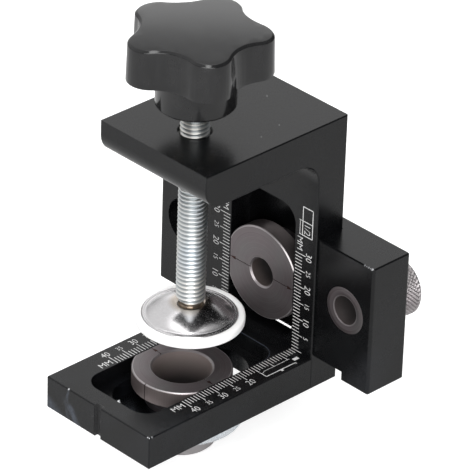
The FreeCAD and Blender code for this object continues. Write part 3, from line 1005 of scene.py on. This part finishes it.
buildStarKnob()


# scales on the four rails

rails = {
    "tickFrom": 12.45, "shortTick": 2.5, "longTick": 3.75, "tickWidth": 0.19, "inkLift": 0.015,
    "crossLift": 0.017, "labelAt": 17.5, "tensHeight": 2.3, "fivesHeight": 1.7, "unitAt": 14.05,
    "unitHeight": 2.2, "unitSqueeze": 0.93, "squeeze": 0.85, "figureSize": 1.37, "strokeTrim": -0.035,
    "curveSteps": 2,
}
# direction is the sign of rising numbers along the rail
baseRail = {"direction": -1, "last": 40, "unitAlong": 43.0, "degrees": 90, "upright": False}
wallRail = {"direction": 1, "last": 30, "unitAlong": 33.2, "degrees": -90, "upright": True}
scales = (
    {"name": "baseScaleRight", "side": 1, "labels": range(20, 45, 5), **baseRail},
    {"name": "baseScaleLeft", "side": -1, "labels": range(5, 45, 5), **baseRail},
    {"name": "wallScaleRight", "side": 1, "labels": range(5, 35, 5), **wallRail},
    {"name": "wallScaleLeft", "side": -1, "labels": range(5, 35, 5), **wallRail},
)


def makeBlock(name, place, size):
    pick()
    bpy.ops.mesh.primitive_cube_add(size=1, location=place, scale=size)
    block = bpy.context.object
    block.name = name
    settle(block)
    return block


def makeBar(name, left, right, low, high, thick=rails["inkLift"]):
    # thin plate between two places, on the face at height 0
    return makeBlock(name, ((left + right) / 2 * mm, (low + high) / 2 * mm, 0),
                     (abs(right - left) * mm, abs(high - low) * mm, 2 * thick * mm))


def repeatAlong(piece, count, step):
    repeat = piece.modifiers.new("repeat", "ARRAY")
    repeat.count = count
    repeat.use_relative_offset = False
    repeat.use_constant_offset = True
    repeat.constant_offset_displace = (0, step * mm, 0)
    applyAll(piece)


def makeStroke(name, first, second, width):
    # thin straight line between two points of the face
    span = Vector(second) - Vector(first)
    # crossing strokes keep their faces apart
    thick = rails["inkLift" if abs(span.x) > abs(span.y) else "crossLift"]
    bar = makeBar(name, 0, span.length, -width / 2, width / 2, thick)
    bar.rotation_euler = (0, 0, math.atan2(span.y, span.x))
    bar.location = (first[0] * mm, first[1] * mm, 0)
    settle(bar)
    return bar


def makeLabel(text, height, across, along, degrees, squeeze=rails["squeeze"]):
    # narrow figures made a mesh, then centred at a place on the face
    pick()
    bpy.ops.object.text_add(location=(0, 0, 0))
    figures = bpy.context.object.data
    figures.body = text
    figures.size = height * mm * rails["figureSize"]
    figures.align_x = "CENTER"
    figures.extrude = rails["inkLift"] * mm
    figures.resolution_u = rails["curveSteps"]
    figures.offset = rails["strokeTrim"] * mm
    bpy.ops.object.convert(target="MESH")
    label = bpy.context.object
    label.scale = (squeeze, 1, 1)
    settle(label)
    label.location = (0, -height / 2 * mm, 0)
    settle(label)
    label.rotation_euler = (0, 0, math.radians(degrees))
    label.location = (across * mm, along * mm, 0)
    settle(label)
    return label


def placeOnFace(piece, upright):
    if upright:
        tilt(piece, 90)
    handOver(piece, "frame", "white_plastic", scaleInk)


def buildScale(scale):
    # ticks every millimetre, longer each five, numbers beyond them
    s = rails
    side = scale["side"]
    direction = scale["direction"]
    degrees = scale["degrees"]
    parts = []
    half = s["tickWidth"] / 2
    shortEnd = s["tickFrom"] + s["shortTick"]
    longEnd = s["tickFrom"] + s["longTick"]
    for label, start, end, step in (("Short", s["tickFrom"], shortEnd, 1), ("Long", shortEnd, longEnd, 5)):
        bar = makeBar(scale["name"] + label, *sorted((side * start, side * end)), -half, half)
        repeatAlong(bar, scale["last"] // step + 1, direction * step)
        parts.append(bar)
    for number in scale["labels"]:
        tall = s["tensHeight"] if number % 10 == 0 else s["fivesHeight"]
        parts.append(makeLabel(str(number), tall, side * s["labelAt"], direction * number, degrees))
    unitPlace = (side * s["unitAt"], direction * scale["unitAlong"])
    parts.append(makeLabel("MM", s["unitHeight"], *unitPlace, degrees, s["unitSqueeze"]))
    placeOnFace(joinAll(scale["name"], parts), scale["upright"])


basePictogram = {
    "strokes": (
        ("board", (16.1, -13.6), (16.1, -4.4), 0.13), ("boardEnd", (16.1, -13.6), (16.6, -14.6), 0.13),
        ("fence", (18.4, -15.0), (18.45, -4.5), 0.28), ("fenceEnd", (15.5, -15.0), (18.4, -15.0), 0.28),
        ("hook", (18.45, -4.5), (19.0, -4.4), 0.28),
    ),
    "pad": (16.6, 17.7, -3.9, -2.1), "pointer": (18.6, 19.2, -10.1, -9.3), "pointerLift": 0.019,
}
wallPictogram = {
    "left": 14.7, "right": 18.35, "low": 36.05, "high": 44.6, "divide": 40.3, "line": 0.26,
    "gauge": 13.75, "gaugeHook": 0.4, "gaugeFoot": 0.2, "gaugeLine": 0.16, "textHeight": 2.3,
}


def buildBasePictogram():
    # board against the fence
    s = basePictogram
    parts = [makeStroke(*stroke) for stroke in s["strokes"]]
    parts += [makeBar("pad", *s["pad"]), makeBar("pointer", *s["pointer"], thick=s["pointerLift"])]
    placeOnFace(joinAll("basePictogram", parts), False)


def buildWallPictogram():
    # half way mark
    s = wallPictogram
    left, right, low, divide, gauge = s["left"], s["right"], s["low"], s["divide"], s["gauge"]
    corners = [(left, low), (right, low), (right, s["high"]), (left, s["high"])]
    parts = [makeStroke("frame", corners[index], corners[(index + 1) % 4], s["line"]) for index in range(4)]
    parts.append(makeStroke("divide", (left, divide), (right, divide), s["line"]))
    parts.append(makeStroke("gauge", (gauge, low), (gauge, divide), s["gaugeLine"]))
    parts.append(makeStroke("gaugeEnd", (gauge - s["gaugeHook"], divide), (left, divide), s["gaugeLine"]))
    parts.append(makeStroke("gaugeFoot", (gauge - s["gaugeFoot"], low), (left, low), s["gaugeLine"]))
    parts.append(makeLabel("1/2", s["textHeight"], (left + right) / 2, (low + divide) / 2, -90))
    placeOnFace(joinAll("wallPictogram", parts), True)


for scale in scales:
    buildScale(scale)
buildBasePictogram()
buildWallPictogram()
print("scales ready")


# index arrows on the two guide bushes

indexArrow = {"tip": 11.75, "base": 9.9, "halfWidth": 0.5, "lift": 0.012, "tipZone": 0.1, "tipShare": 0.16}


def buildIndexArrows(name, body, upright, place):
    s = indexArrow
    size = ((s["tip"] - s["base"]) * mm, 2 * s["halfWidth"] * mm, 2 * s["lift"] * mm)
    parts = []
    for side in (-1, 1):
        arrow = makeBlock(name + "Part", (side * (s["tip"] + s["base"]) / 2 * mm, 0, 0), size)
        squeezeWhere(arrow, lambda x, y, z: abs(x) > (s["tip"] - s["tipZone"]) * mm, (1, s["tipShare"], 1))
        parts.append(arrow)
    piece = joinAll(name, parts)
    if upright:
        tilt(piece, 90)
    shift(piece, *place)
    handOver(piece, body, "black_oxide", arrowInk)


buildIndexArrows("baseBushArrows", "lower_bush", False, (0, layout["baseBushY"], 0))
buildIndexArrows("wallBushArrows", "carriage", True, (0, 0, layout["wallBushZ"]))
print("index arrows ready")


# camera, floor and lights

lens = {
    "sensor": 36, "length": 321.6, "near": 0.05, "far": 20, "place": (676.99, -679.16, 596.05),
    "right": (0.69013, 0.72309, 0.02919), "forward": (-0.61235, 0.60498, -0.50894),
}
white = (1, 1, 1, 1)
studio = {
    "floorZ": -22.55, "floorSize": 8.0, "floorColour": (0.55, 0.55, 0.55, 1), "floorRough": 0.9,
    "floorSpecular": 0.1, "floorLift": 0.72, "floorGlow": 0.05, "horizonShare": 0.6, "horizonTo": 0.45,
    # each patch: its middle, the cosines where it starts and is full, the strengths outside and inside
    "room": ((-0.62, -0.1, 0.778), 0.15, 0.75, 0.14, 0.92),
    "panel": ((-0.68, 0.70, 0.22), 0.92, 1.0, 0.0, 0.85),
    "hot": ((-0.13, 0.06, 0.99), 0.86, 1.0, 0.0, 1.8),
    "glint": ((0.362, -0.357, 0.861), 0.978, 0.994, 0.0, 7.0),
    "lights": (
        {"name": "softKey", "place": (-0.42, -0.42, 0.55), "size": 0.55, "power": 1.2, "mirrored": False},
        {"name": "frontFill", "place": (0.45, -0.5, 0.35), "size": 0.8, "power": 7.0, "mirrored": True},
    ),
    "lightAim": (-0.03, -0.05, 0.0),
}


def placeCamera():
    # the long lens that the proportions call for
    data = bpy.data.cameras.new("camera")
    camera = addObject("camera", data)
    data.sensor_width = lens["sensor"]
    data.lens = lens["length"]
    data.clip_start = lens["near"]
    data.clip_end = lens["far"]
    right = Vector(lens["right"]).normalized()
    forward = Vector(lens["forward"]).normalized()
    up = right.cross(forward).normalized()
    turn = Matrix((right, up, -forward)).transposed().to_4x4()
    camera.matrix_world = Matrix.Translation(Vector(lens["place"]) * mm) @ turn
    bpy.context.scene.camera = camera


def buildFloor():
    # glows mostly for the camera, so that it goes white behind the soft shadow
    s = studio
    pick()
    bpy.ops.mesh.primitive_plane_add(size=s["floorSize"], location=(0, 0, s["floorZ"] * mm))
    floor = bpy.context.object
    floor.name = "studioFloor"
    settle(floor)
    material, tree, shader = newMaterial("paleFloor")[:3]
    shader.inputs["Base Color"].default_value = s["floorColour"]
    shader.inputs["Roughness"].default_value = s["floorRough"]
    shader.inputs["Specular IOR Level"].default_value = s["floorSpecular"]
    shader.inputs["Emission Color"].default_value = white
    seen = tree.nodes.new("ShaderNodeLightPath").outputs["Is Camera Ray"]
    glow = addRange(tree, seen, 0.0, 1.0, s["floorGlow"], s["floorLift"])
    feed(tree, glow, shader.inputs["Emission Strength"])
    dress(floor, material)


def buildWorld():
    # bright to the left and overhead, dim on the right, with a panel, a hot patch above and a small glint
    world = bpy.data.worlds.new("softRoom")
    bpy.context.scene.world = world
    world.use_nodes = True
    tree = world.node_tree
    back = tree.nodes["Background"]
    direction = tree.nodes.new("ShaderNodeTexCoord").outputs["Generated"]

    def softPatch(side, *fade):
        return addRange(tree, addVectorMath(tree, "DOT_PRODUCT", direction, side), *fade, kind="SMOOTHSTEP")

    horizon = addRange(tree, splitXYZ(tree, direction)[2], 0.0, studio["horizonTo"], studio["horizonShare"])
    room, panel, hot, glint = [softPatch(*studio[name]) for name in ("room", "panel", "hot", "glint")]
    front = addMath(tree, "ADD", times(tree, room, horizon), glint)
    back.inputs["Color"].default_value = white
    feed(tree, addMath(tree, "ADD", front, addMath(tree, "ADD", panel, hot)), back.inputs["Strength"])


def buildLights():
    # a key that stays out of the polished faces and a broad fill that shows in them
    for lamp in studio["lights"]:
        data = bpy.data.lights.new(lamp["name"], "AREA")
        data.shape = "DISK"
        data.size = lamp["size"]
        data.energy = lamp["power"]
        light = addObject(lamp["name"], data)
        light.location = lamp["place"]
        aim = Vector(studio["lightAim"]) - Vector(lamp["place"])
        light.rotation_euler = aim.to_track_quat("-Z", "Y").to_euler()
        light.visible_glossy = lamp["mirrored"]


materialOf = {
    "upright_bracket": bracketBlack, "base_plate": plateBlack, "side_bar": barBlack,
    "base_plate_screws": blackOxide, "knob_insert": insertBrass, "base_bush": baseBushSteel,
    "wall_bush": wallBushSteel,
}
for nodeName, material in materialOf.items():
    dress(nodes[nodeName], material)

placeCamera()
buildFloor()
buildWorld()
buildLights()
bpy.context.scene.view_settings.view_transform = "Standard"
print("studio ready")
